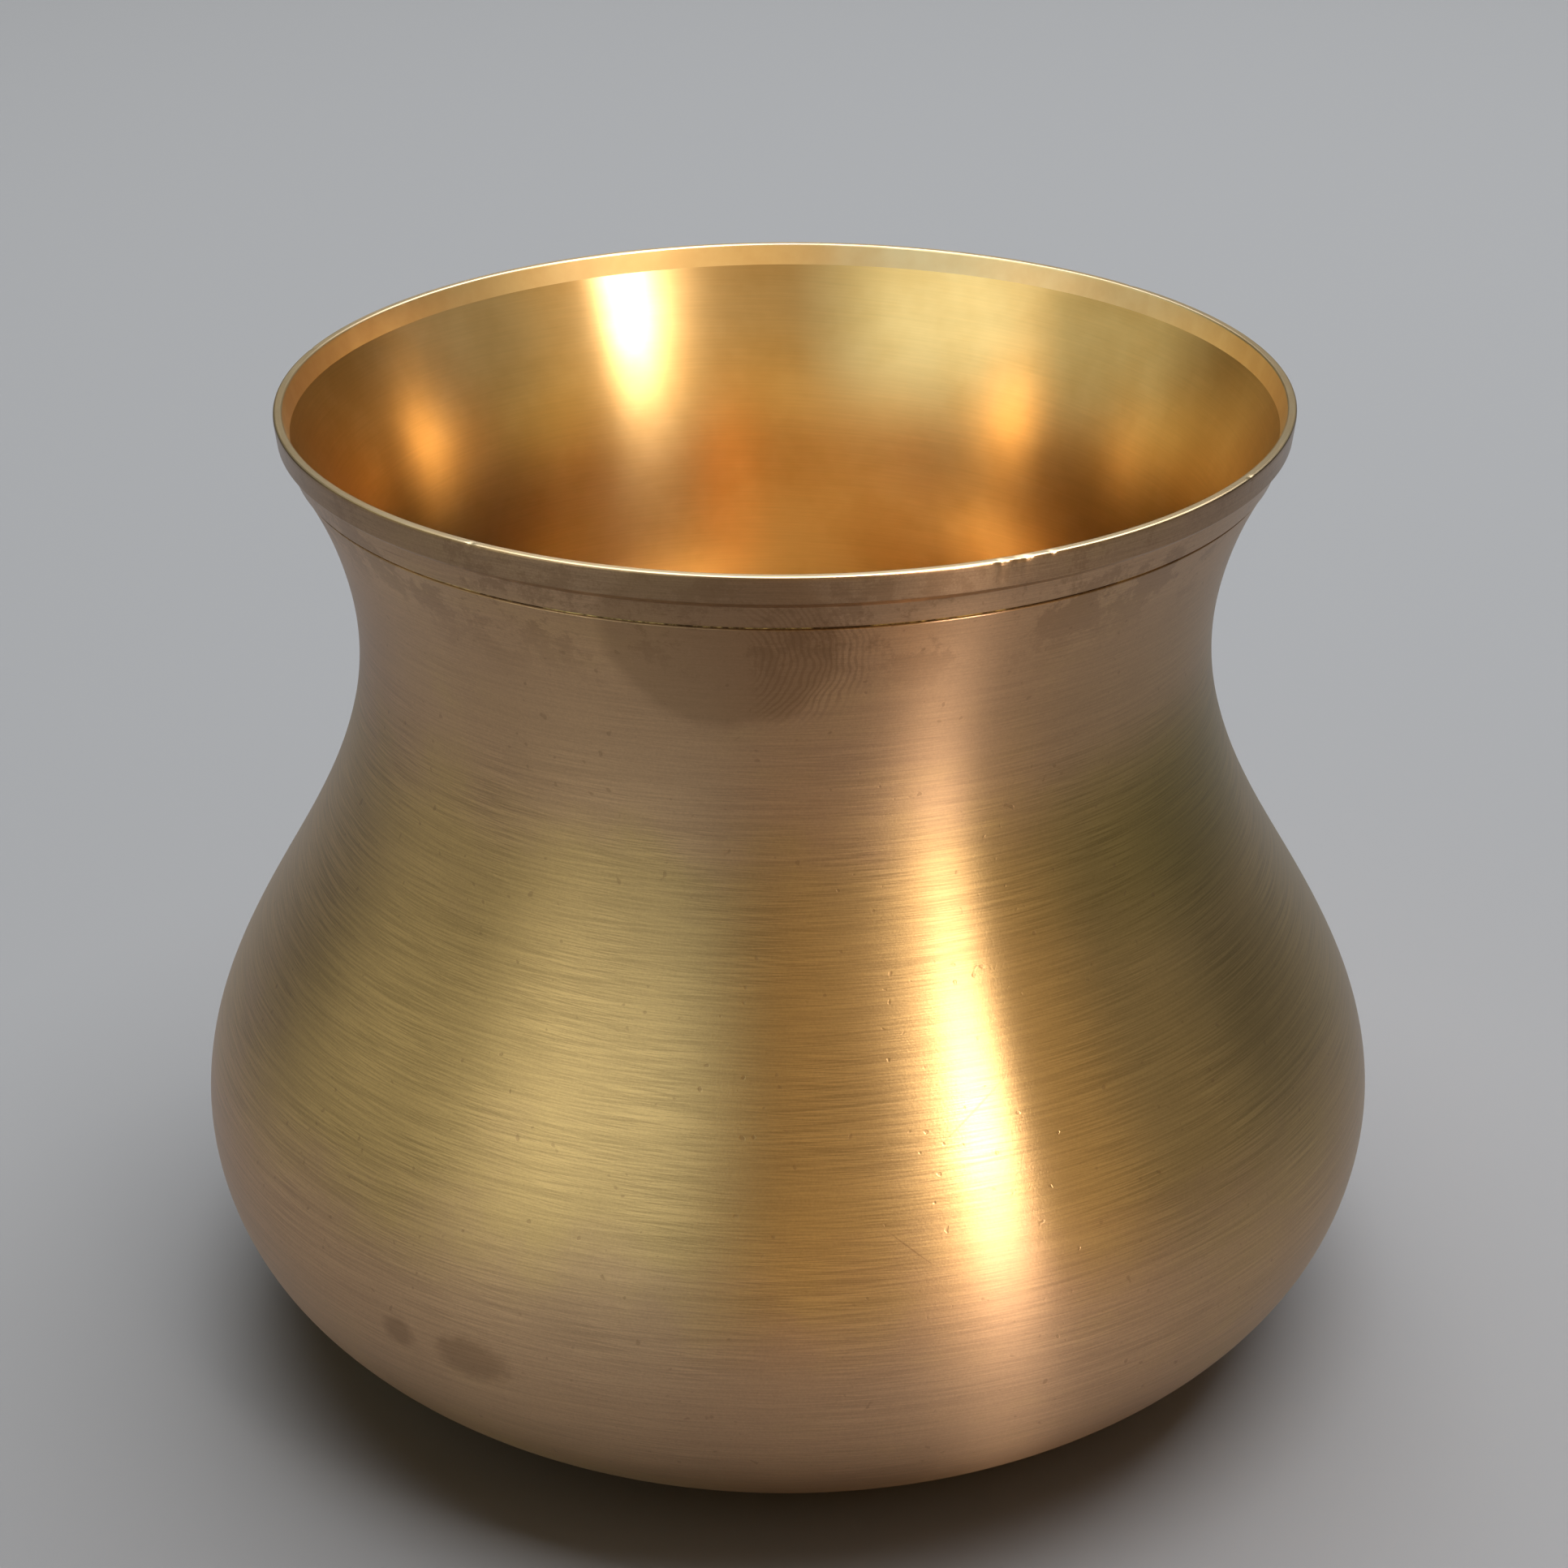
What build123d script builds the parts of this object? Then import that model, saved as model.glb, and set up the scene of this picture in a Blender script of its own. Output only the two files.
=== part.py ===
from build123d import *
import os

# Lota: a squat brass water pot with a pinched neck, a flared mouth and a belly that is widest low down.
# Millimetres, +Z up. The origin is the centre of the base, on the surface that the pot stands on.
#
# The pot is three turned brass pieces, brazed together:
#   lower_bowl   the base and the belly up to its widest line
#   upper_shell  the shoulder and the neck
#   mouth_ring   the thicker ring at the mouth, with the lip on top
# Each joint is a lap of two half-thickness edges, and a ring of filler metal closes it:
#   belly_joint_braze on the inside of the belly, mouth_joint_braze in the bottom of the groove under the ring.
# Every piece is a solid of revolution, cut from one section of the whole wall.

# ---------------------------------------------------------------- driving dimensions
pot_height = 88.0
wall_thickness = 1.1

# outside of the wall: radius and height of each point that shapes the curve
foot_radius = 32.5
underside_radius, underside_height = 53.24, 13.07
belly_radius, belly_height = 55.0, 21.2
shoulder_radius, shoulder_height = 44.0, 46.9
waist_radius, waist_height = 38.1, 66.4
neck_top_radius, neck_top_height = 42.3, 83.0
neck_top_flare = 28.0             # degrees from the vertical

# mouth ring, from the groove up to the lip
groove_edge_radius, groove_edge_height = 42.55, 83.35
step_inner_radius, step_inner_height = 43.15, 85.25
step_outer_radius, step_outer_height = 43.8, 85.75
lip_radius = 44.0
lip_side_height = 0.4             # short upright side of the lip
lip_thickness = 0.76
lip_edge_round = 0.2
crease_radius, crease_height = 42.7, 86.05
crease_flare = 25.0               # degrees from the vertical, below the crease inside the mouth

# brazed joints
belly_lap = 3.0                   # height of the overlap at the belly
belly_bead_depth = 0.5
belly_bead_width = 0.8
mouth_lap = 1.3                   # height of the overlap under the mouth ring
mouth_lap_lean = 0.45             # how far the lap leans out over its height
groove_root_radius, groove_root_height = 41.95, 83.18
groove_floor_radius = 42.15       # face of the filler metal in the groove

beyond = 70.0                     # a radius and a height outside the whole pot


# ---------------------------------------------------------------- section of the wall
def at(radius, height):
    """A point of the section, which lies in the XZ plane."""
    return Vector(radius, 0, height)


def leaning(degrees):
    """Upward direction that leans outwards from the vertical."""
    return Vector(0, 0, 1).rotate(Axis.Y, degrees)


def region(*corners):
    """A straight-sided area of the section."""
    return make_face(Polyline(*corners, close=True))


def smooth_line(points, first_direction, last_direction):
    """A curve of continuous curvature through the points, with unit tangents at its two ends."""
    return Spline(*points, tangents=[first_direction, last_direction], tangent_scalars=[1, 1])


def outer_curve():
    points = [
        at(foot_radius, 0),
        at(underside_radius, underside_height),
        at(belly_radius, belly_height),
        at(shoulder_radius, shoulder_height),
        at(waist_radius, waist_height),
        at(neck_top_radius, neck_top_height),
    ]
    return smooth_line(points, Vector(1, 0, 0), leaning(neck_top_flare))


def inner_curve(outer):
    """The inside of the wall, one thickness in from the outside as far as the neck, then up to the crease."""
    into_wall = Vector(0, 1, 0)
    offsets = [0.0, 0.1, 0.2, 0.3, 0.4, 0.5, 0.6, 0.7, 0.8, 0.9]
    points = []
    for position in offsets:
        inwards = outer.tangent_at(position).cross(into_wall).normalized()
        points.append(outer.position_at(position) + inwards * wall_thickness)
    points.append(at(crease_radius, crease_height))
    return smooth_line(points, Vector(1, 0, 0), leaning(crease_flare))


def on_flank(edge_radius, edge_height, radius):
    """Where the groove's flank, from its edge down to its root, reaches a radius."""
    share = (edge_radius - radius) / (edge_radius - groove_root_radius)
    return at(radius, edge_height + share * (groove_root_height - edge_height))


outer = outer_curve()
inner = inner_curve(outer)

groove_root = at(groove_root_radius, groove_root_height)
floor_lower = on_flank(neck_top_radius, neck_top_height, groove_floor_radius)
floor_upper = on_flank(groove_edge_radius, groove_edge_height, groove_floor_radius)

mouth_outline = [
    at(neck_top_radius, neck_top_height),
    floor_lower,
    floor_upper,
    at(groove_edge_radius, groove_edge_height),
    at(step_inner_radius, step_inner_height),
    at(step_outer_radius, step_outer_height),
    at(lip_radius, pot_height - lip_side_height),
    at(lip_radius, pot_height),
    at(lip_radius - lip_thickness, pot_height),
    at(crease_radius, crease_height),
]
base_outline = [
    inner.position_at(0),
    at(0, wall_thickness),
    at(0, 0),
    at(foot_radius, 0),
]
wall = make_face([outer, Polyline(*mouth_outline), inner, Polyline(*base_outline)])
lip_corners = wall.vertices().filter_by_position(Axis.Z, pot_height - 0.01, pot_height + 0.01)
wall = fillet(lip_corners, lip_edge_round)

# ---------------------------------------------------------------- where the wall is divided
lap_radius = belly_radius - wall_thickness / 2
lap_bottom = belly_height - belly_lap / 2
lap_top = belly_height + belly_lap / 2

lower_area = region(
    at(0, -1),
    at(beyond, -1),
    at(beyond, lap_bottom),
    at(lap_radius, lap_bottom),
    at(lap_radius, lap_top),
    at(0, lap_top),
)
mouth_area = region(
    groove_root,
    at(beyond, groove_root_height),
    at(beyond, pot_height + 1),
    at(0, pot_height + 1),
    at(0, groove_root_height + mouth_lap),
    at(groove_root_radius + mouth_lap_lean, groove_root_height + mouth_lap),
)
bead_root_radius = belly_radius - wall_thickness + belly_bead_depth
bead_area = region(
    at(bead_root_radius, lap_top),
    at(bead_root_radius - 2 * belly_bead_depth, lap_top + belly_bead_width),
    at(bead_root_radius - 2 * belly_bead_depth, lap_top - belly_bead_width),
)
groove_area = region(groove_root, floor_lower, floor_upper)

# ---------------------------------------------------------------- the pieces
sections = {
    "lower_bowl": (wall & lower_area) - bead_area,
    "upper_shell": wall - lower_area - mouth_area - bead_area - groove_area,
    "mouth_ring": (wall & mouth_area) - groove_area,
    "belly_joint_braze": wall & bead_area,
    "mouth_joint_braze": wall & groove_area,
}

os.makedirs("parts", exist_ok=True)
for name, section in sections.items():
    piece = revolve(section, axis=Axis.Z)
    piece.label = name
    export_step(piece, f"parts/{name}.step")
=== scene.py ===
"""A small turned brass lota on a pale floor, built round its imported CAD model.

The model is in metres, +Z up, with its origin at the centre of the base. The outline is worked out in
millimetres. Azimuths are measured round the pot from its front, the -Y side, towards +X.
"""
import math

import bpy
import numpy as np
from mathutils import Matrix, Vector


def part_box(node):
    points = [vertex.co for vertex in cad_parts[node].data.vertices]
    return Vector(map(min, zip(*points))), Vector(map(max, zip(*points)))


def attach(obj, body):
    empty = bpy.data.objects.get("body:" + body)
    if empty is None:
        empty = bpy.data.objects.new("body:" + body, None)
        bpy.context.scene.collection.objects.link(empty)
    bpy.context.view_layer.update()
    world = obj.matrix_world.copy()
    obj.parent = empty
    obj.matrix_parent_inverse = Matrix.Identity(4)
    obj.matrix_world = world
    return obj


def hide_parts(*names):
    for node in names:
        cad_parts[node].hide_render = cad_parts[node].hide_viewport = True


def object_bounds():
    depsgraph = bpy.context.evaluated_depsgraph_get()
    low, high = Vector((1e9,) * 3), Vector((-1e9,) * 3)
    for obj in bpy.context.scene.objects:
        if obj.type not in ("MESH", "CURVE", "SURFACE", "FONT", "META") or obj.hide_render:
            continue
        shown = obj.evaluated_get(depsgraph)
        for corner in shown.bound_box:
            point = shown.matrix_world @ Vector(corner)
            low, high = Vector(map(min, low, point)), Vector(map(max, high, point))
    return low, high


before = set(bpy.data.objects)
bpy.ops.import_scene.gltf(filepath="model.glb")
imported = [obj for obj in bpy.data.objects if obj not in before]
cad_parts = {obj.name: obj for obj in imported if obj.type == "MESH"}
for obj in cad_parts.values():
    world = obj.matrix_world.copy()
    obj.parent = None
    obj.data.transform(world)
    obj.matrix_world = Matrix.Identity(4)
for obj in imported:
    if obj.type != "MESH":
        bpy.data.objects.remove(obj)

MM = 0.001
cad_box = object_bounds()

# ---------------------------------------------------------------- sizes, in millimetres
pot_height = cad_box[1].z / MM
lip_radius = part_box("mouth_ring")[1].x / MM
belly_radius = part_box("lower_bowl")[1].x / MM
lap_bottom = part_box("upper_shell")[0].z / MM
lap_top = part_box("lower_bowl")[1].z / MM

wall_thickness = 1.1
foot_radius = 32.5
underside = (53.24, 13.07)        # radius and height
belly_height = (lap_bottom + lap_top) / 2
shoulder = (44.0, 46.9)
waist = (38.1, 66.4)
neck_top = (42.3, 83.0)
neck_top_flare = 28.0             # degrees from the vertical

groove_root = (41.95, 83.18)
groove_floor_radius = 42.15
groove_edge = (42.55, 83.35)
step_inner = (43.15, 85.25)
step_outer = (43.8, 85.75)
lip_side_height = 0.4
lip_thickness = 0.76
lip_edge_round = 0.22
nick_reach = 0.5                  # of the knocks on the lip, down its side and in over its top
ring_round = 0.16                 # of the corners of the ring's outside
neck_round = 0.09                 # of the groove's lower edge
crease = (42.7, 86.05)
crease_flare = 25.0
mouth_lap_top = (42.4, 84.48)

lap_radius = belly_radius - wall_thickness / 2
bead_root_radius = belly_radius - wall_thickness + 0.5
bead_slope = 0.8                  # half the bead's width for each millimetre of its depth
bead_crown = 0.12                 # how far the filler metal stands proud inside the belly
groove_bead_crown = -0.04         # the filler metal in the groove is hollow

wall_inset = 0.08                 # how far the wall stands inside its true circle on average

wall_steps = 480                  # faces in one turn
mouth_steps = 1440
foot_parts = 13                   # rings of faces from the axis to the foot's edge
outside_spacing = 0.7             # of the rings of faces on the walls
inside_spacing = 1.0
mouth_spacing = 0.3


# ---------------------------------------------------------------- outline
def leaning(degrees):
    """Upward direction that leans outwards from the vertical."""
    return np.array([math.sin(math.radians(degrees)), math.cos(math.radians(degrees))])


class Curve:
    """A cubic spline of continuous curvature through the points, with unit tangents at its two ends."""

    def __init__(self, points, first_direction, last_direction):
        self.points = np.array(points, float)
        steps = np.diff(self.points, axis=0)
        spans = np.linalg.norm(steps, axis=1)
        self.knots = np.concatenate([[0.0], np.cumsum(spans)])
        count = len(self.points)
        system = np.eye(count)
        right_side = np.zeros((count, 2))
        right_side[0] = first_direction
        right_side[-1] = last_direction
        for i in range(1, count - 1):
            before, after = spans[i - 1], spans[i]
            system[i, i - 1:i + 2] = after, 2 * (before + after), before
            right_side[i] = 3 * (after / before * steps[i - 1] + before / after * steps[i])
        self.slopes = np.linalg.solve(system, right_side)

    def at(self, places):
        """Points and unit directions at places along the curve, from 0 to its last knot."""
        places = np.asarray(places, float)
        i = np.clip(np.searchsorted(self.knots, places, side="right") - 1, 0, len(self.knots) - 2)
        span = (self.knots[i + 1] - self.knots[i])[:, None]
        t = ((places - self.knots[i])[:, None]) / span
        start, end = self.points[i], self.points[i + 1]
        first, last = self.slopes[i] * span, self.slopes[i + 1] * span
        points = ((2 * t**3 - 3 * t**2 + 1) * start + (t**3 - 2 * t**2 + t) * first
                  + (3 * t**2 - 2 * t**3) * end + (t**3 - t**2) * last)
        along = ((6 * t**2 - 6 * t) * start + (3 * t**2 - 4 * t + 1) * first
                 + (6 * t - 6 * t**2) * end + (3 * t**2 - 2 * t) * last)
        return points, along / np.linalg.norm(along, axis=1)[:, None]

    def between(self, low, high, spacing):
        """Points and directions from height low to height high, about one spacing apart.

        None stands for the curve's own end.
        """
        fine = np.linspace(0, self.knots[-1], 6000)
        heights = self.at(fine)[0][:, 1]
        first = fine[0] if low is None else np.interp(low, heights, fine)
        last = fine[-1] if high is None else np.interp(high, heights, fine)
        count = max(2, int(math.ceil((last - first) / spacing)) + 1)
        return self.at(np.linspace(first, last, count))


outside = Curve(
    [(foot_radius, 0), underside, (belly_radius, belly_height), shoulder, waist, neck_top],
    (1, 0), leaning(neck_top_flare))


def inside_curve():
    """The inside of the wall, one thickness in from the outside up to the neck, then up to the crease."""
    points, along = outside.at(np.linspace(0, 0.9, 10) * outside.knots[-1])
    inwards = np.column_stack([-along[:, 1], along[:, 0]])
    return Curve([*(points + wall_thickness * inwards), crease], (1, 0), leaning(crease_flare))


inside = inside_curve()


def straight(start, end, parts=1):
    """A straight run of the outline: its points and its direction at each."""
    points = np.linspace(start, end, parts + 1)
    along = np.subtract(end, start) / np.linalg.norm(np.subtract(end, start))
    return points, np.tile(along, (parts + 1, 1))


def arc(centre, radius, first_degrees, last_degrees, parts):
    """An arc of the outline, with angles measured from the outward radius towards up."""
    angles = np.radians(np.linspace(first_degrees, last_degrees, parts + 1))
    spokes = np.column_stack([np.cos(angles), np.sin(angles)])
    turn = 1 if last_degrees > first_degrees else -1
    return np.array(centre) + radius * spokes, turn * np.column_stack([-spokes[:, 1], spokes[:, 0]])


def reverse(run):
    points, along = run
    return points[::-1], -along[::-1]


def cornered(before, corner, after, radius, parts=4):
    """The round of a corner between two straight stretches, from one to the other."""
    first = np.subtract(corner, before) / np.linalg.norm(np.subtract(corner, before))
    last = np.subtract(after, corner) / np.linalg.norm(np.subtract(after, corner))
    turn = math.acos(np.clip(first @ last, -1, 1))
    shares = np.linspace(0, 1, parts + 1)[:, None]
    along = (np.sin((1 - shares) * turn) * first + np.sin(shares * turn) * last) / math.sin(turn)
    side = math.copysign(1, first[0] * last[1] - first[1] * last[0])
    spokes = side * np.column_stack([along[:, 1], -along[:, 0]])
    start = np.array(corner) - radius * math.tan(turn / 2) * first
    return start + radius * (spokes - spokes[0]), along


def rounded_line(points, radius):
    """Straight stretches through the points, with every corner between them rounded."""
    places = [np.array(points[:1])]
    directions = [straight(points[0], points[1])[1][:1]]
    for before, corner, after in zip(points, points[1:], points[2:]):
        round_places, round_directions = cornered(before, corner, after, radius)
        places.append(round_places)
        directions.append(round_directions)
    places.append(np.array(points[-1:]))
    directions.append(directions[-1][-1:])
    return np.concatenate(places), np.concatenate(directions)


# ---------------------------------------------------------------- unevenness of the hand-turned wall
def waver(height, azimuth):
    """How far the wall stands inside its true circle, in millimetres, and the slopes of that.

    Azimuths are in radians.
    """
    ripples = [  # waves round the pot, millimetres of height for each wave, phase, size
        (2, 95.0, 0.6, 0.030),
        (3, 61.0, 2.1, 0.022),
        (5, 38.0, 4.0, 0.010),
        (0, 9.0, 1.3, 0.004),
    ]
    depth = np.full(np.broadcast(height, azimuth).shape, wall_inset)
    by_height = np.zeros_like(depth)
    by_azimuth = np.zeros_like(depth)
    for waves, wave_height, phase, size in ripples:
        rate = 2 * math.pi / wave_height
        angle = waves * azimuth + rate * height + phase
        depth += size * np.cos(angle)
        by_height -= size * rate * np.sin(angle)
        by_azimuth -= size * waves * np.sin(angle)
    return depth, by_height, by_azimuth


def lip_nicks(radius, height, azimuth):
    """How deep the knocks on the lip's outer edge are, in millimetres. Azimuths are in radians."""
    nicks = [  # azimuth in degrees, half width along the edge, depth
        (21.6, 0.30, 0.10),
        (23.4, 0.22, 0.08),
        (24.3, 0.40, 0.14),
        (27.2, 0.26, 0.10),
        (-33.0, 0.24, 0.06),
        (58.0, 0.30, 0.08),
        (131.0, 0.28, 0.09),
        (-104.0, 0.34, 0.07),
    ]
    near_top = np.clip((height - pot_height) / nick_reach + 1, 0, 1)
    near_side = np.clip((radius - lip_radius) / nick_reach + 1, 0, 1)
    dent = np.zeros(np.broadcast(height, azimuth).shape)
    for degrees, half_width, depth in nicks:
        turn = (azimuth - math.radians(degrees) + math.pi) % (2 * math.pi) - math.pi
        dent += depth * near_top * near_side * np.exp(-(turn * radius / half_width)**2)
    return dent


# ---------------------------------------------------------------- turned meshes
def turned(points, along, azimuth, dents):
    """Turns a run of the outline round the pot's axis, following the wall's unevenness and the dents.

    Gives the places and the outward directions, with a row of them for each point of the run.
    """
    across = np.column_stack([np.sin(azimuth), -np.cos(azimuth), np.zeros(len(azimuth))])
    around = np.column_stack([np.cos(azimuth), np.sin(azimuth), np.zeros(len(azimuth))])
    up = np.array([0.0, 0.0, 1.0])
    radius, height = points[:, :1], points[:, 1:]
    depth, by_height, by_azimuth = waver(height, azimuth[None, :])
    fade = np.clip(radius / foot_radius, 0, 1)
    true_radius = radius - depth * fade
    rise = along[:, 1:]
    spread = along[:, :1] - by_height * fade * rise
    sideways = by_azimuth * fade * rise / np.maximum(true_radius, 0.1)
    facing = rise[..., None] * across + sideways[..., None] * around - spread[..., None] * up
    facing /= np.linalg.norm(facing, axis=-1, keepdims=True)
    place = true_radius[..., None] * across + height[..., None] * up
    if dents is not None:
        dent = dents(radius, height, azimuth[None, :])
        lengths = np.concatenate([[0], np.cumsum(np.linalg.norm(np.diff(points, axis=0), axis=1))])
        place = place - dent[..., None] * facing
        by_length = np.gradient(dent, lengths, axis=0)
        by_arc = np.gradient(dent, axis=1) / (radius * 2 * math.pi / len(azimuth))
        tangent = along[:, :1, None] * across + along[:, 1:, None] * up
        facing = facing + by_length[..., None] * tangent + by_arc[..., None] * around
        facing /= np.linalg.norm(facing, axis=-1, keepdims=True)
    return place, facing


def new_piece(name, vertices, faces, normals, finishes, finish_numbers):
    """A smooth mesh, with vertices in millimetres and an outward direction for each corner of its faces."""
    mesh = bpy.data.meshes.new(name)
    mesh.from_pydata(vertices * MM, [], faces)
    for finish in finishes:
        mesh.materials.append(finish)
    mesh.polygons.foreach_set("material_index", finish_numbers)
    mesh.polygons.foreach_set("use_smooth", [True] * len(faces))
    mesh.normals_split_custom_set(normals)
    mesh.update()
    piece = bpy.data.objects.new(name, mesh)
    bpy.context.scene.collection.objects.link(piece)
    return piece


def lathe(name, runs, finishes, steps, dents=None):
    """Turns the whole outline into one closed mesh with that many faces in one turn.

    Each run of the outline is (points, directions, number of its finish). The runs go up the outside and
    down the inside, and each starts where the one before ends. An outline that starts on the axis ends on
    it, and any other closes. Where dents is given, dents(radius, height, azimuth) is how deep the surface
    is dented at each place.
    """
    azimuth = np.arange(steps) * 2 * math.pi / steps
    opens_on_axis = runs[0][0][0, 0] < 1e-9
    rows, bands = [], []  # a band of faces is its lower row, the directions at its two rows, its finish
    for points, along, finish in runs:
        place, facing = turned(points, along, azimuth, dents)
        for i in range(len(points) - 1):
            bands.append((len(rows), facing[i], facing[i + 1], finish))
            rows.append(place[i])
    if opens_on_axis:
        rows.append(place[-1])
    rows = np.array(rows)

    index = np.arange(len(rows) * steps).reshape(len(rows), steps)
    vertices = rows.reshape(-1, 3)
    if opens_on_axis:  # one vertex alone at each end of the outline
        index[0] = 0
        index[1:] -= steps - 1
        index[-1] = index[-2, -1] + 1
        vertices = np.concatenate([rows[0, :1], rows[1:-1].reshape(-1, 3), rows[-1, :1]])
    faces, normals, finish_numbers = [], [], []
    for low, low_facing, high_facing, finish in bands:
        lower, upper = index[low], index[(low + 1) % len(rows)]
        ring = [(lower, low_facing), (np.roll(lower, -1), np.roll(low_facing, -1, axis=0)),
                (np.roll(upper, -1), np.roll(high_facing, -1, axis=0)), (upper, high_facing)]
        if opens_on_axis and low == 0:  # its two lower corners are one vertex
            del ring[1]
        if opens_on_axis and low == len(rows) - 2:  # its two upper corners are one vertex
            del ring[2]
        faces += np.column_stack([vertex for vertex, _ in ring]).tolist()
        normals.append(np.stack([facing for _, facing in ring], axis=1).reshape(-1, 3))
        finish_numbers += [finish] * steps
    return new_piece(name, vertices, faces, np.concatenate(normals), finishes, finish_numbers)


# ---------------------------------------------------------------- the outline's runs
OUTER, INNER, LIP = 0, 1, 2       # places of the finishes in each piece


def with_finish(run, finish):
    points, along = run
    return points, along, finish


def flank(edge, radius):
    """Where the groove's flank, from its edge down to its root, reaches a radius."""
    share = (edge[0] - radius) / (edge[0] - groove_root[0])
    return radius, edge[1] + share * (groove_root[1] - edge[1])


def inner_radius(height):
    points, _ = inside.between(None, height, inside_spacing)
    return points[-1, 0]


floor_lower = flank(neck_top, groove_floor_radius)
floor_upper = flank(groove_edge, groove_floor_radius)
neck_lap = (inner_radius(mouth_lap_top[1]), mouth_lap_top[1])

lap_edge = outside.between(None, lap_bottom, outside_spacing)[0][-1]
lap_foot = (lap_radius, lap_bottom)
lap_head = (lap_radius, lap_top)
bead_root = (bead_root_radius, lap_top)
bead_reach = bead_root_radius - inner_radius(lap_top)
bead_low = lap_top - bead_reach * bead_slope
bead_high = lap_top + bead_reach * bead_slope
bead_foot = (inner_radius(bead_low), bead_low)
bead_head = (inner_radius(bead_high), bead_high)


def lower_bowl_runs():
    return [
        with_finish(straight((0, 0), (foot_radius, 0), foot_parts), OUTER),
        with_finish(outside.between(None, lap_bottom, outside_spacing), OUTER),
        with_finish(straight(lap_edge, lap_foot), INNER),
        with_finish(straight(lap_foot, lap_head), INNER),
        with_finish(straight(lap_head, bead_root), INNER),
        with_finish(straight(bead_root, bead_foot), INNER),
        with_finish(reverse(inside.between(None, bead_low, inside_spacing)), INNER),
        with_finish(straight((foot_radius, wall_thickness), (0, wall_thickness), foot_parts), INNER),
    ]


def upper_shell_runs():
    neck = outside.between(lap_bottom, neck_top[1] - 2 * neck_round, outside_spacing)
    return [
        with_finish(neck, OUTER),
        with_finish(rounded_line([neck[0][-1], neck_top, floor_lower], neck_round), OUTER),
        with_finish(straight(floor_lower, groove_root), OUTER),
        with_finish(straight(groove_root, mouth_lap_top), INNER),
        with_finish(straight(mouth_lap_top, neck_lap), INNER),
        with_finish(reverse(inside.between(bead_high, mouth_lap_top[1], inside_spacing)), INNER),
        with_finish(straight(bead_head, bead_root), INNER),
        with_finish(straight(bead_root, lap_head), INNER),
        with_finish(straight(lap_head, lap_foot), INNER),
        with_finish(straight(lap_foot, lap_edge), INNER),
    ]


def lip_corner():
    """Centre and last angle of the round on the lip's inner edge, where the facet inside the lip starts."""
    edge = np.array([lip_radius - lip_thickness, pot_height])
    down = np.array(crease) - edge
    down /= np.linalg.norm(down)
    facing = np.array([down[1], -down[0]])
    centre = (edge[0] - lip_edge_round * (1 - facing[1]) / facing[0], pot_height - lip_edge_round)
    return centre, math.degrees(math.atan2(facing[1], facing[0]))


def mouth_ring_runs():
    side_bottom = (lip_radius, pot_height - lip_side_height)
    side_top = (lip_radius, pot_height - lip_edge_round)
    facets = [floor_upper, groove_edge, step_inner, step_outer, side_bottom]
    outer_centre = (lip_radius - lip_edge_round, pot_height - lip_edge_round)
    centre, last_angle = lip_corner()
    inner_round = arc(centre, lip_edge_round, 90, last_angle, 5)
    return [
        with_finish(straight(mouth_lap_top, groove_root), OUTER),
        with_finish(straight(groove_root, floor_upper), OUTER),
        with_finish(rounded_line(facets, ring_round), OUTER),
        with_finish(straight(side_bottom, side_top, 2), OUTER),
        with_finish(arc(outer_centre, lip_edge_round, 0, 45, 3), OUTER),
        with_finish(arc(outer_centre, lip_edge_round, 45, 90, 3), LIP),
        with_finish(straight((lip_radius - lip_edge_round, pot_height), (centre[0], pot_height), 3), LIP),
        with_finish(inner_round, LIP),
        with_finish(straight(inner_round[0][-1], crease, 8), LIP),
        with_finish(reverse(inside.between(mouth_lap_top[1], None, mouth_spacing)), INNER),
        with_finish(straight(neck_lap, mouth_lap_top), INNER),
    ]


def bowed(start, end, bow, parts):
    """A run that bows out to its right by bow in the middle."""
    shares = np.linspace(0, 1, parts + 1)[:, None]
    whole = np.subtract(end, start)
    right = np.array([whole[1], -whole[0]]) / np.linalg.norm(whole)
    points = np.array(start) + shares * whole + 4 * bow * shares * (1 - shares) * right
    along = whole + 4 * bow * (1 - 2 * shares) * right
    return points, along / np.linalg.norm(along, axis=1)[:, None]


def belly_bead_runs():
    return [
        with_finish(straight(bead_foot, bead_root), OUTER),
        with_finish(straight(bead_root, bead_head), OUTER),
        with_finish(bowed(bead_head, bead_foot, bead_crown, 8), OUTER),
    ]


def groove_bead_runs():
    return [
        with_finish(straight(groove_root, floor_lower), OUTER),
        with_finish(bowed(floor_lower, floor_upper, groove_bead_crown, 6), OUTER),
        with_finish(straight(floor_upper, groove_root), OUTER),
    ]


# ---------------------------------------------------------------- sizes of the surface's marks
typical_radius = 48.0
least_roughness = 0.265           # the noise lifts the walls over 0.274, so denoising keeps fine marks
radial_share = 0.35               # of the change with height: how fast the marks change with radius
scratches = [                     # azimuth in degrees, height, half length, half width, slope
    (18.5, 41.8, 2.6, 0.10, 0.6),
    (11.0, 33.0, 1.6, 0.07, -0.8),
    (-12.4, 84.2, 0.35, 0.07, 0.1),
    (-11.5, 84.6, 0.30, 0.06, 0.1),
    (-10.7, 84.1, 0.25, 0.06, 0.0),
    (-46.0, 84.4, 1.8, 0.05, 0.03),
]
ridge_spacing = 0.5               # of the lines in the greasy thumb mark under the lip


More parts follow.
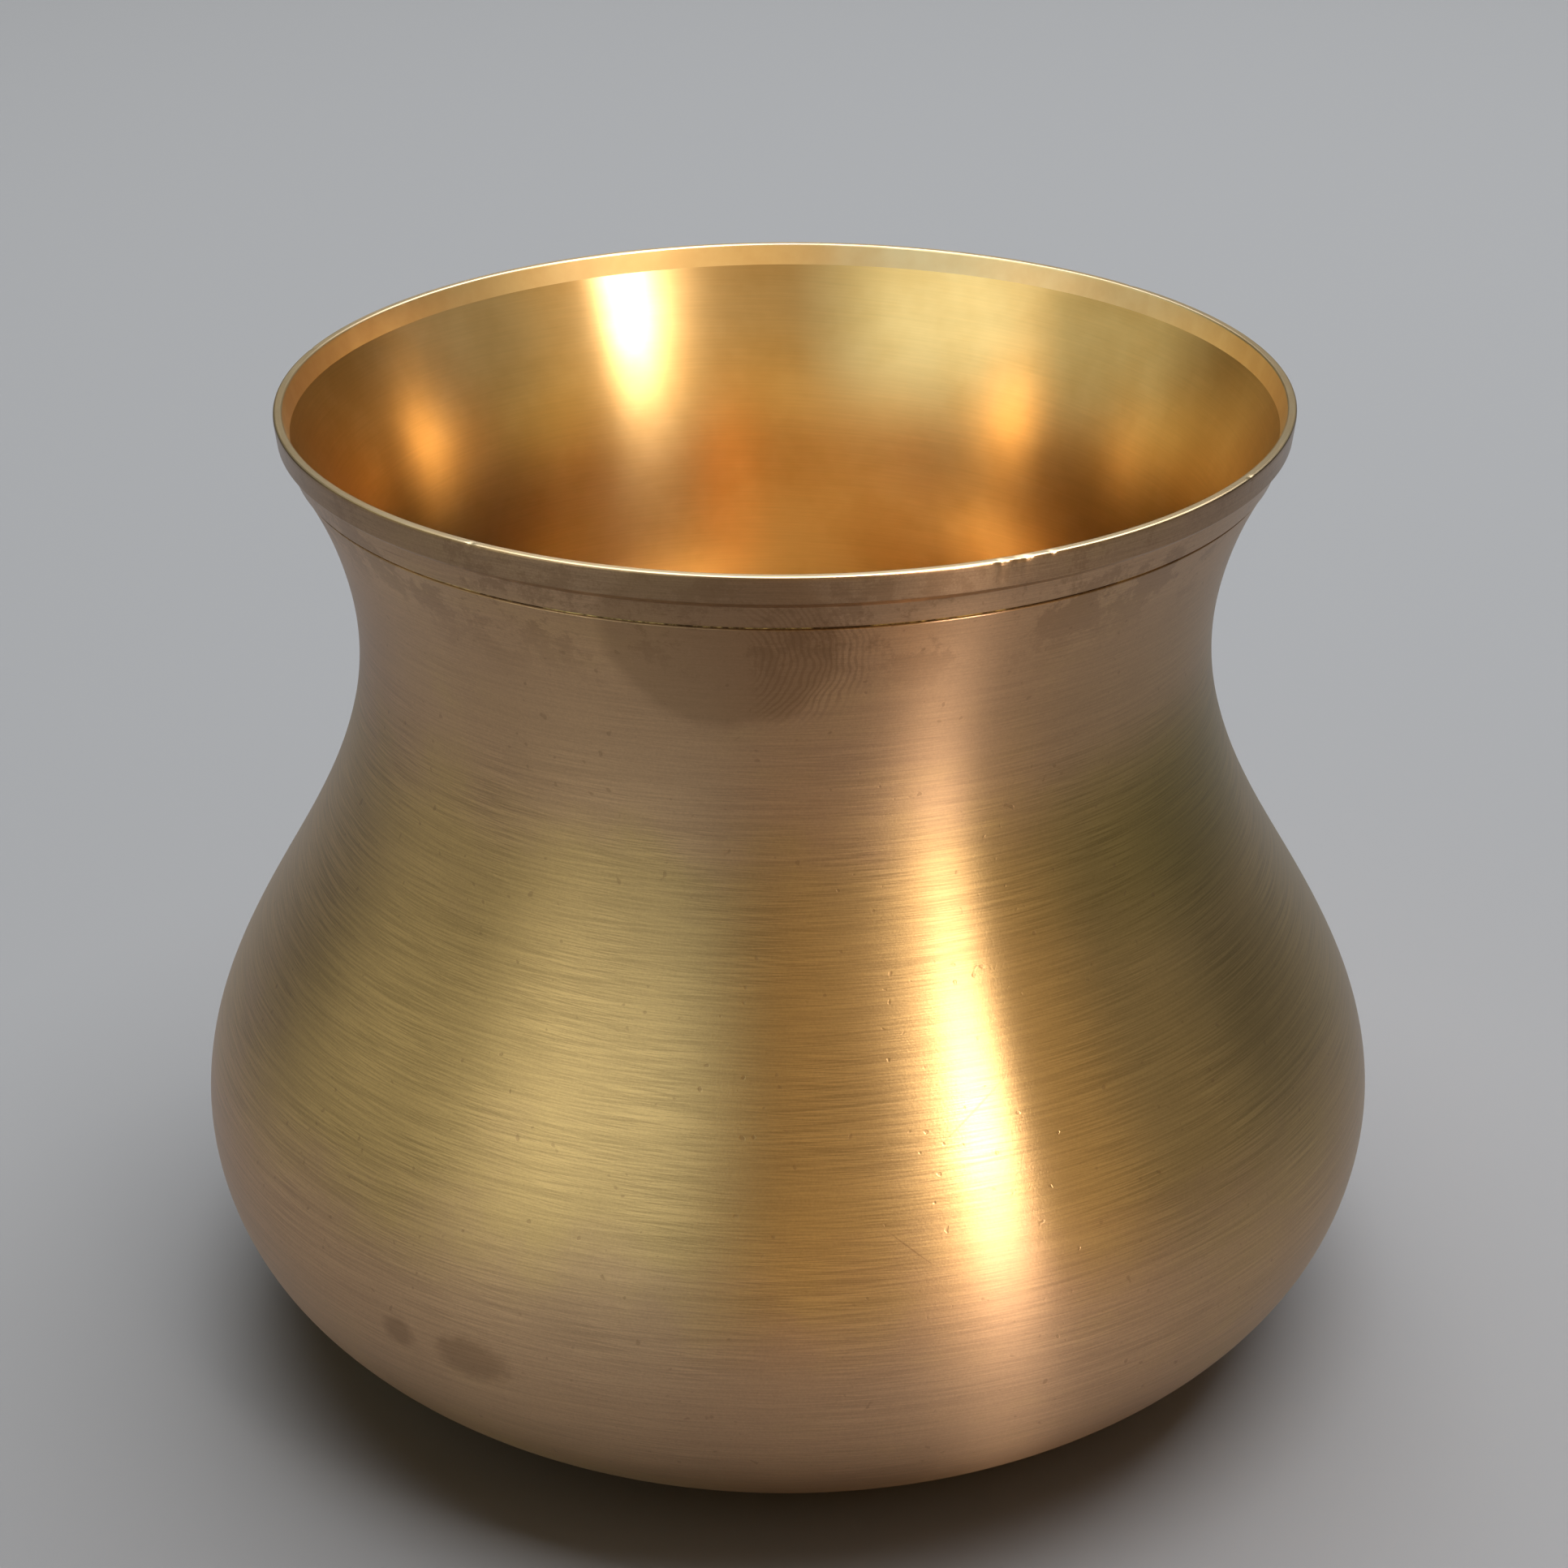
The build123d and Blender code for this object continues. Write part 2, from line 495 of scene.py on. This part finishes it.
# ---------------------------------------------------------------- material nodes
class Nodes:
    """Builds the nodes of a material or a world. A value is a number, a colour or another node's output."""

    def __init__(self, owner):
        self.owner = owner
        owner.use_nodes = True
        self.tree = owner.node_tree
        self.tree.nodes.clear()

    def add(self, kind, inputs=None, **settings):
        """A node of that kind with its inputs, by their names or numbers, and its settings."""
        node = self.tree.nodes.new(kind)
        for setting, value in settings.items():
            setattr(node, setting, value)
        for key, value in (inputs or {}).items():
            if isinstance(value, bpy.types.NodeSocket):
                self.tree.links.new(value, node.inputs[key])
            else:
                node.inputs[key].default_value = value
        return node

    def maths(self, operation, *values):
        return self.add("ShaderNodeMath", dict(enumerate(values)), operation=operation).outputs[0]

    def total(self, *values):
        result = values[0]
        for value in values[1:]:
            result = self.maths("ADD", result, value)
        return result

    def product(self, *values):
        result = values[0]
        for value in values[1:]:
            result = self.maths("MULTIPLY", result, value)
        return result

    def length(self, x, y):
        return self.maths("SQRT", self.total(self.product(x, x), self.product(y, y)))

    def scaled(self, value, factor, offset=0.0):
        return self.maths("MULTIPLY_ADD", value, factor, offset)

    def eased(self, value, low, high, first=0.0, last=1.0):
        """Goes smoothly from first to last as the value goes from low to high."""
        inputs = {0: value, 1: low, 2: high, 3: first, 4: last}
        node = self.add("ShaderNodeMapRange", inputs, interpolation_type="SMOOTHSTEP")
        return node.outputs[0]

    def soft_band(self, value, half_width, softness):
        """1 near zero and 0 beyond the half width, changing over the softness on both sides of it."""
        distance = self.maths("ABSOLUTE", value)
        return self.eased(distance, half_width - softness, half_width + softness, 1.0, 0.0)

    def blended(self, share, first, second, how="MIX"):
        inputs = {0: share, 6: first, 7: second}  # 6 and 7 are the node's inputs for colours
        return self.add("ShaderNodeMix", inputs, data_type="RGBA", blend_type=how).outputs[2]

    def vector(self, x, y, z):
        return self.add("ShaderNodeCombineXYZ", {0: x, 1: y, 2: z}).outputs[0]

    def noise(self, vector, fourth=0.0, detail=1.0, roughness=0.5, scale=1.0):
        inputs = {"Vector": vector, "W": fourth, "Scale": scale, "Detail": detail, "Roughness": roughness}
        return self.add("ShaderNodeTexNoise", inputs, noise_dimensions="4D").outputs[0]


class PotNodes(Nodes):
    """Nodes with the place on the pot: x, y and height, radius and azimuth, in millimetres and radians."""

    def __init__(self, name):
        super().__init__(bpy.data.materials.new(name))
        place = self.add("ShaderNodeTexCoord").outputs["Object"]
        parts = self.add("ShaderNodeSeparateXYZ", {0: place}).outputs
        self.x, self.y, self.height = (self.scaled(part, 1 / MM) for part in parts)
        self.radius = self.length(self.x, self.y)
        safe_radius = self.maths("MAXIMUM", self.radius, 0.5)
        self.x_share = self.maths("DIVIDE", self.x, safe_radius)
        self.y_share = self.maths("DIVIDE", self.y, safe_radius)
        self.azimuth = self.maths("ARCTAN2", self.x, self.scaled(self.y, -1))
        self.place = self.vector(self.x, self.y, self.height)

    def blotches(self, size, seed, detail=2.0, roughness=0.5):
        """Noise with features of that size in millimetres."""
        return self.noise(self.place, seed, detail, roughness, 1 / size)

    def streaks(self, length, thickness, seed, tilt_x=0.0, tilt_y=0.0, detail=1.0):
        """Noise drawn out round the pot, as a lathe's file or emery leaves it, tilted by small slopes."""
        rounds = typical_radius / length
        line = self.total(self.height, self.scaled(self.x, tilt_x), self.scaled(self.y, tilt_y))
        x, y = self.scaled(self.x_share, rounds), self.scaled(self.y_share, rounds)
        along = self.vector(x, y, self.scaled(line, 1 / thickness))
        return self.noise(along, self.scaled(self.radius, radial_share / thickness, seed), detail)

    def arc_from(self, azimuth_degrees):
        """Distance round the pot from an azimuth, in millimetres."""
        turn = self.scaled(self.azimuth, 1, -math.radians(azimuth_degrees))
        return self.product(turn, self.radius)

    def spot(self, azimuth_degrees, height, half_width, half_height, edge, ragged=0.0, seed=0.0, lean=0.0):
        """1 inside an ellipse on the pot's front or sides and 0 outside it.

        The edge's softness and raggedness are shares of the ellipse's size, and lean is the slope of its
        long axis.
        """
        across = self.arc_from(azimuth_degrees)
        rise = self.scaled(self.height, 1, -height)
        leaned = self.total(rise, self.scaled(across, -lean))
        share_x = self.scaled(across, 1 / half_width)
        share_y = self.scaled(leaned, 1 / half_height)
        distance = self.length(share_x, share_y)
        if ragged:
            rough_edge = self.blotches(min(half_width, half_height) * 0.5, seed, 3.0, 0.6)
            distance = self.total(distance, self.scaled(rough_edge, 2 * ragged, -ragged))
        return self.eased(distance, 1 - edge, 1 + edge, 1.0, 0.0)

    def finished(self, colour, roughness, height, bump_distance, anisotropy):
        """Ends the material in a metal that is brushed round the pot. The bump's distance is in metres."""
        tangent = self.add("ShaderNodeTangent", direction_type="RADIAL", axis="Z").outputs[0]
        bump = self.add("ShaderNodeBump", {"Strength": 1.0, "Distance": bump_distance, "Height": height})
        shader = self.add("ShaderNodeBsdfPrincipled", {
            "Base Color": colour,
            "Metallic": 1.0,
            "Roughness": roughness,
            "Anisotropic": anisotropy,
            "Anisotropic Rotation": 0.25,  # so that highlights spread across the turning marks
            "Tangent": tangent,
            "Normal": bump.outputs[0],
        })
        self.add("ShaderNodeOutputMaterial", {"Surface": shader.outputs[0]})
        return self.owner


# ---------------------------------------------------------------- materials
def turning_marks(n):
    """Fine marks that a lathe's file and emery leave, crossing at small slopes."""
    hair = n.streaks(6, 0.08, 3.1, tilt_x=0.05)
    line = n.streaks(12, 0.12, 6.3, tilt_x=-0.03, tilt_y=0.04)
    scratch = n.streaks(24, 0.19, 8.7, tilt_x=-0.05, tilt_y=0.05, detail=2.0)
    return n.total(n.scaled(hair, 0.40), n.scaled(line, 0.35), n.scaled(scratch, 0.25))


def patina_and_painted_shade(n, marks, grain, cloud):
    """Colour of the outside: brown tarnish over brass, golden where it is rubbed thin round the belly, with
    a painted dark reflection on the right and painted shade near the foot.
    """
    brown = (0.535, 0.335, 0.200, 1)
    golden = (0.530, 0.350, 0.165, 1)
    # painted reflection: the dark greenish brown of dark surroundings, painted onto the right side
    painted_olive_reflection = (0.28, 0.20, 0.06, 1)
    band = n.streaks(70, 2.6, 14.2, tilt_y=0.03, detail=2.0)
    rubbed = n.product(n.eased(n.height, 22, 40), n.eased(n.height, 54, 68, 1.0, 0.0))
    worn = n.eased(n.total(n.scaled(rubbed, 0.5), cloud, n.scaled(band, 0.3, -0.15)), 0.45, 0.95)
    # painted reflection: the right side and shoulder are darkened as if they reflected dark surroundings
    painted_side_reflection = n.scaled(n.spot(74, 42, 32, 34, 0.8), 0.5)
    painted_shoulder_reflection = n.scaled(n.spot(60, 57, 20, 10, 0.8), 0.9)
    shade = n.maths("MAXIMUM", painted_side_reflection, painted_shoulder_reflection)
    shaded = n.blended(shade, n.blended(worn, brown, golden), painted_olive_reflection)

    patchy = n.eased(n.blotches(9, 27.0, 2.0), 0.35, 0.65, 0.5, 1.0)
    contrast = n.product(patchy, n.eased(n.height, 60, 74, 1.0, 0.4), n.eased(n.height, 16, 34, 0.55, 1.0))
    ring_shade = n.total(n.eased(n.height, 83.2, 83.4, 0.0, 0.12), n.eased(n.height, 85.2, 85.9, 0.0, 0.20))
    # painted shade: the wall darkens towards the foot, standing in for the reflected dark contact shadow of
    # the floor
    painted_contact_shadow = n.eased(n.height, 4, 14, 0.35, 0.0)
    tone = n.total(n.product(n.eased(marks, 0.37, 0.63, -0.21, 0.21), contrast), n.scaled(grain, 0.24),
                   n.scaled(cloud, 0.25), 0.755, n.scaled(ring_shade, -1), n.scaled(painted_contact_shadow, -1))
    return n.blended(1.0, shaded, n.vector(tone, tone, tone), "MULTIPLY")


def thumb_ridges(n):
    """The lines at the right of the greasy thumb mark, curved round a point near its middle."""
    across = n.arc_from(-9)
    rise = n.scaled(n.height, 1, -80.5)
    wavy_reach = n.total(n.length(across, rise), n.scaled(n.blotches(3, 23.0), 1.6))
    ridges = n.eased(n.maths("SINE", n.scaled(wavy_reach, 2 * math.pi / ridge_spacing)), -0.2, 0.7)
    ridged = n.product(n.eased(across, 3.0, 5.0), n.spot(-2, 80, 8.0, 6.0, 0.25, 0.3, 9.0))
    return n.product(ridged, ridges)


def stains_and_scratches(n):
    """Two stains low on the left, and the scratches."""
    stains = n.maths("MAXIMUM", n.spot(-28.5, 20.5, 3.4, 1.9, 0.35, 0.35, 6.0),
                     n.spot(-36.5, 20.3, 1.6, 1.3, 0.45, 0.30, 7.0))
    for degrees, middle, half_length, half_width, lean in scratches:
        scratch_mark = n.spot(degrees, middle, half_length, half_width, 0.5, lean=lean)
        stains = n.maths("MAXIMUM", stains, scratch_mark)
    return stains


def outside_brass():
    """Dulled brass with turning marks, pits, a greasy thumb mark under the lip, tarnish and stains."""
    n = PotNodes("outside_brass")
    dark = (0.25, 0.145, 0.08, 1)
    marks = turning_marks(n)
    grain = n.blotches(0.17, 5.0, 1.0)
    cloud = n.blotches(15, 2.4, 4.0, 0.62)
    pits = n.eased(n.blotches(0.6, 17.0, 0.0), 0.77, 0.84)
    smudge = n.spot(-7, 82.0, 9.2, 8.6, 0.10, 0.16, 4.0)
    print_marks = thumb_ridges(n)
    tarnish = n.product(n.eased(n.height, 74, 84), n.eased(n.blotches(6, 35.0, 7.0, 0.78), 0.50, 0.56))
    blemishes = [  # where it is, how much it darkens
        (pits, 0.35),
        (smudge, 0.42),
        (print_marks, 0.35),
        (tarnish, 0.45),
        (stains_and_scratches(n), 0.5),
    ]
    colour = patina_and_painted_shade(n, marks, grain, cloud)
    for blemish, strength in blemishes:
        colour = n.blended(n.scaled(blemish, strength), colour, dark)

    neck_dullness = n.eased(n.height, 40, 66, 0.0, 0.065)
    ring_polish = n.eased(n.height, 82.8, 83.4, 0.0, -0.06)
    roughness = n.total(least_roughness, n.scaled(marks, 0.01), n.scaled(cloud, 0.02),
                        n.scaled(smudge, 0.03), neck_dullness, ring_polish)
    height = n.total(marks, n.scaled(grain, 0.5), n.scaled(pits, -0.6), n.scaled(print_marks, 0.3))
    return n.finished(colour, roughness, height, 9e-6, 1.0)


def inside_brass():
    """The inside is cleaner and yellower, with softer turning marks."""
    n = PotNodes("inside_brass")
    yellow = (0.78, 0.545, 0.255, 1)
    brown = (0.69, 0.455, 0.19, 1)
    hair = n.streaks(7, 0.16, 31.0, tilt_x=0.04)
    band = n.streaks(60, 2.2, 42.0, tilt_y=0.03, detail=2.0)
    cloud = n.blotches(12, 19.0, 4.0, 0.6)
    colour = n.blended(n.eased(cloud, 0.35, 0.65), yellow, brown)
    tone = n.total(0.88, n.scaled(hair, 0.14), n.scaled(band, 0.08))
    toned = n.blended(1.0, colour, n.vector(tone, tone, tone), "MULTIPLY")
    roughness = n.total(least_roughness, n.scaled(hair, 0.01), n.scaled(cloud, 0.03))
    height = n.total(n.scaled(hair, 0.5), n.scaled(band, 1.5))
    return n.finished(toned, roughness, height, 4e-6, 0.93)


def lip_brass():
    """The lip is rubbed bright by hands."""
    n = PotNodes("lip_brass")
    bright = (0.94, 0.74, 0.47, 1)
    worn = (0.87, 0.65, 0.38, 1)
    hair = n.streaks(5, 0.08, 51.0)
    cloud = n.blotches(3, 52.0, 3.0, 0.6)
    colour = n.blended(n.eased(cloud, 0.3, 0.7), bright, worn)
    roughness = n.total(0.27, n.scaled(hair, 0.06), n.scaled(cloud, 0.06))
    return n.finished(colour, roughness, hair, 2e-6, 0.3)


def filler_metal():
    """Yellower brazing metal, cast rough and partly filled with dirt."""
    n = PotNodes("filler_metal")
    yellow = (0.80, 0.60, 0.27, 1)
    dirt = (0.10, 0.065, 0.04, 1)
    lumps = n.blotches(0.9, 61.0, 3.0, 0.6)
    patches = n.blotches(7, 62.0, 2.0)
    dirty = n.eased(n.total(lumps, patches), 0.75, 1.05)
    colour = n.blended(dirty, yellow, dirt)
    roughness = n.total(0.28, n.scaled(dirty, 0.3))
    return n.finished(colour, roughness, lumps, 3e-5, 0.0)


# ---------------------------------------------------------------- the pieces
def place_pieces():
    outer, inner, lip, filler = outside_brass(), inside_brass(), lip_brass(), filler_metal()
    finishes = [outer, inner, lip]
    fillers = [filler]
    wanted = [
        ("bowl", "lower_bowl", "brushed_brass", lower_bowl_runs(), finishes, wall_steps),
        ("shell", "upper_shell", "brushed_brass", upper_shell_runs(), finishes, wall_steps),
        ("mouth", "mouth_ring", "lip_brass", mouth_ring_runs(), finishes, mouth_steps),
        ("belly_bead", "belly_joint_braze", "filler_metal", belly_bead_runs(), fillers, wall_steps),
        ("groove_bead", "mouth_joint_braze", "filler_metal", groove_bead_runs(), fillers, mouth_steps),
    ]
    for name, node, slot, runs, materials, steps in wanted:
        piece = lathe(name, runs, materials, steps, lip_nicks if name == "mouth" else None)
        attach(piece, "root")
        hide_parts(node)


place_pieces()


# ---------------------------------------------------------------- floor, lights and camera
def plain_material(name, colour, roughness):
    n = Nodes(bpy.data.materials.new(name))
    shader = n.add("ShaderNodeBsdfPrincipled", {"Base Color": colour, "Roughness": roughness})
    n.add("ShaderNodeOutputMaterial", {"Surface": shader.outputs[0]})
    return n.owner


def add_floor():
    reach = 4.0
    mesh = bpy.data.meshes.new("floor")
    corners = [(-reach, -reach, 0), (reach, -reach, 0), (reach, reach, 0), (-reach, reach, 0)]
    mesh.from_pydata(corners, [], [(0, 1, 2, 3)])
    mesh.materials.append(plain_material("floor_paper", (0.46, 0.465, 0.475, 1), 0.7))
    floor = bpy.data.objects.new("floor", mesh)
    bpy.context.scene.collection.objects.link(floor)


def towards(azimuth, elevation):
    """Direction from the pot, with azimuth from the front towards +X, both in degrees."""
    a, e = math.radians(azimuth), math.radians(elevation)
    return Vector((math.sin(a) * math.cos(e), -math.cos(a) * math.cos(e), math.sin(e)))


def add_soft_light(name, azimuth, elevation, distance, width, height, brightness, colour):
    """A rectangular light that faces the pot. Width and height are angles seen from the pot, in degrees.

    The brightness is on the scale of the world's colours.
    """
    light = bpy.data.lights.new(name, "AREA")
    light.shape = "RECTANGLE"
    light.size = 2 * distance * math.tan(math.radians(width / 2))
    light.size_y = 2 * distance * math.tan(math.radians(height / 2))
    light.energy = 4 * brightness * light.size * light.size_y  # 4 W from each square metre for each unit
    light.color = colour
    lamp = bpy.data.objects.new(name, light)
    away = towards(azimuth, elevation)
    lamp.location = Vector((0, 0, pot_height * MM / 2)) + distance * away
    lamp.rotation_mode = "QUATERNION"
    lamp.rotation_quaternion = away.to_track_quat("Z", "Y")
    lamp.visible_camera = False
    bpy.context.scene.collection.objects.link(lamp)


def add_surroundings():
    """A dim studio with soft-edged glows that show only in reflections. Angles are in degrees."""
    world = bpy.data.worlds.new("studio")
    n = Nodes(world)
    direction = n.add("ShaderNodeTexCoord").outputs["Generated"]
    x, y, z = n.add("ShaderNodeSeparateXYZ", {0: direction}).outputs
    azimuth = n.scaled(n.maths("ARCTAN2", x, n.scaled(y, -1)), 180 / math.pi)
    elevation = n.scaled(n.maths("ARCSINE", z), 180 / math.pi)
    glows = [  # azimuth, elevation, half width, half height, softness, lean, strength in each colour
        (-42, 38, 24, 18, 18, 0.0, (1.75, 1.95, 1.70)),
        (-85, 26, 33, 20, 16, 0.0, (0.62, 0.66, 0.50)),
        (28, 17, 38, 15, 15, 0.0, (0.76, 0.49, 0.14)),
        (48, 53.5, 6.0, 18.5, 1.0, 0.12, (37.0, 32.5, 29.0)),
        (36, 12, 9, 11, 5, 0.0, (0.7, 0.50, 0.14)),
        (76, 16, 20, 14, 14, 0.0, (0.18, 0.13, 0.04)),
    ]
    light = (0.07, 0.07, 0.05, 1)     # of the dim studio itself
    backdrop = (0.5, 0.5, 0.5, 1)
    for middle, rise, half_width, half_height, softness, lean, colour in glows:
        above = n.scaled(elevation, 1, -rise)
        across = n.total(azimuth, n.scaled(above, -lean, -middle))
        side_share = n.soft_band(across, half_width, softness)
        share = n.product(side_share, n.soft_band(above, half_height, softness))
        light = n.blended(share, light, (*colour, 1), "ADD")
    seen = n.add("ShaderNodeLightPath").outputs["Is Camera Ray"]
    background = n.add("ShaderNodeBackground", {"Color": n.blended(seen, light, backdrop)})
    n.add("ShaderNodeOutputWorld", {"Surface": background.outputs[0]})
    world.cycles_visibility.diffuse = False  # the floor is lit by the overhead light alone
    bpy.context.scene.world = world


def add_lights():
    add_soft_light("overhead", 155, 72, 1.2, 64, 64, 2.05, (0.98, 1.0, 1.03))
    add_surroundings()


def add_camera():
    """Looks down at the pot from close in front of it."""
    place = Vector((0.0, -0.24995, 0.17298))
    yaw, pitch_down, roll = math.radians(-0.047), math.radians(26.32), math.radians(-0.27)
    forward = Vector((math.sin(yaw) * math.cos(pitch_down), math.cos(yaw) * math.cos(pitch_down),
                      -math.sin(pitch_down)))
    level_right = Vector((math.cos(yaw), -math.sin(yaw), 0))
    level_up = level_right.cross(forward)
    right = math.cos(roll) * level_right + math.sin(roll) * level_up
    up = math.cos(roll) * level_up - math.sin(roll) * level_right
    camera = bpy.data.objects.new("camera", bpy.data.cameras.new("camera"))
    camera.data.lens = 69.28
    camera.data.sensor_width = 36.0
    camera.data.clip_start = 0.01
    camera.matrix_world = Matrix.Translation(place) @ Matrix((right, up, -forward)).transposed().to_4x4()
    bpy.context.scene.collection.objects.link(camera)
    bpy.context.scene.camera = camera


add_floor()
add_lights()
add_camera()
bpy.context.scene.view_settings.view_transform = "Standard"
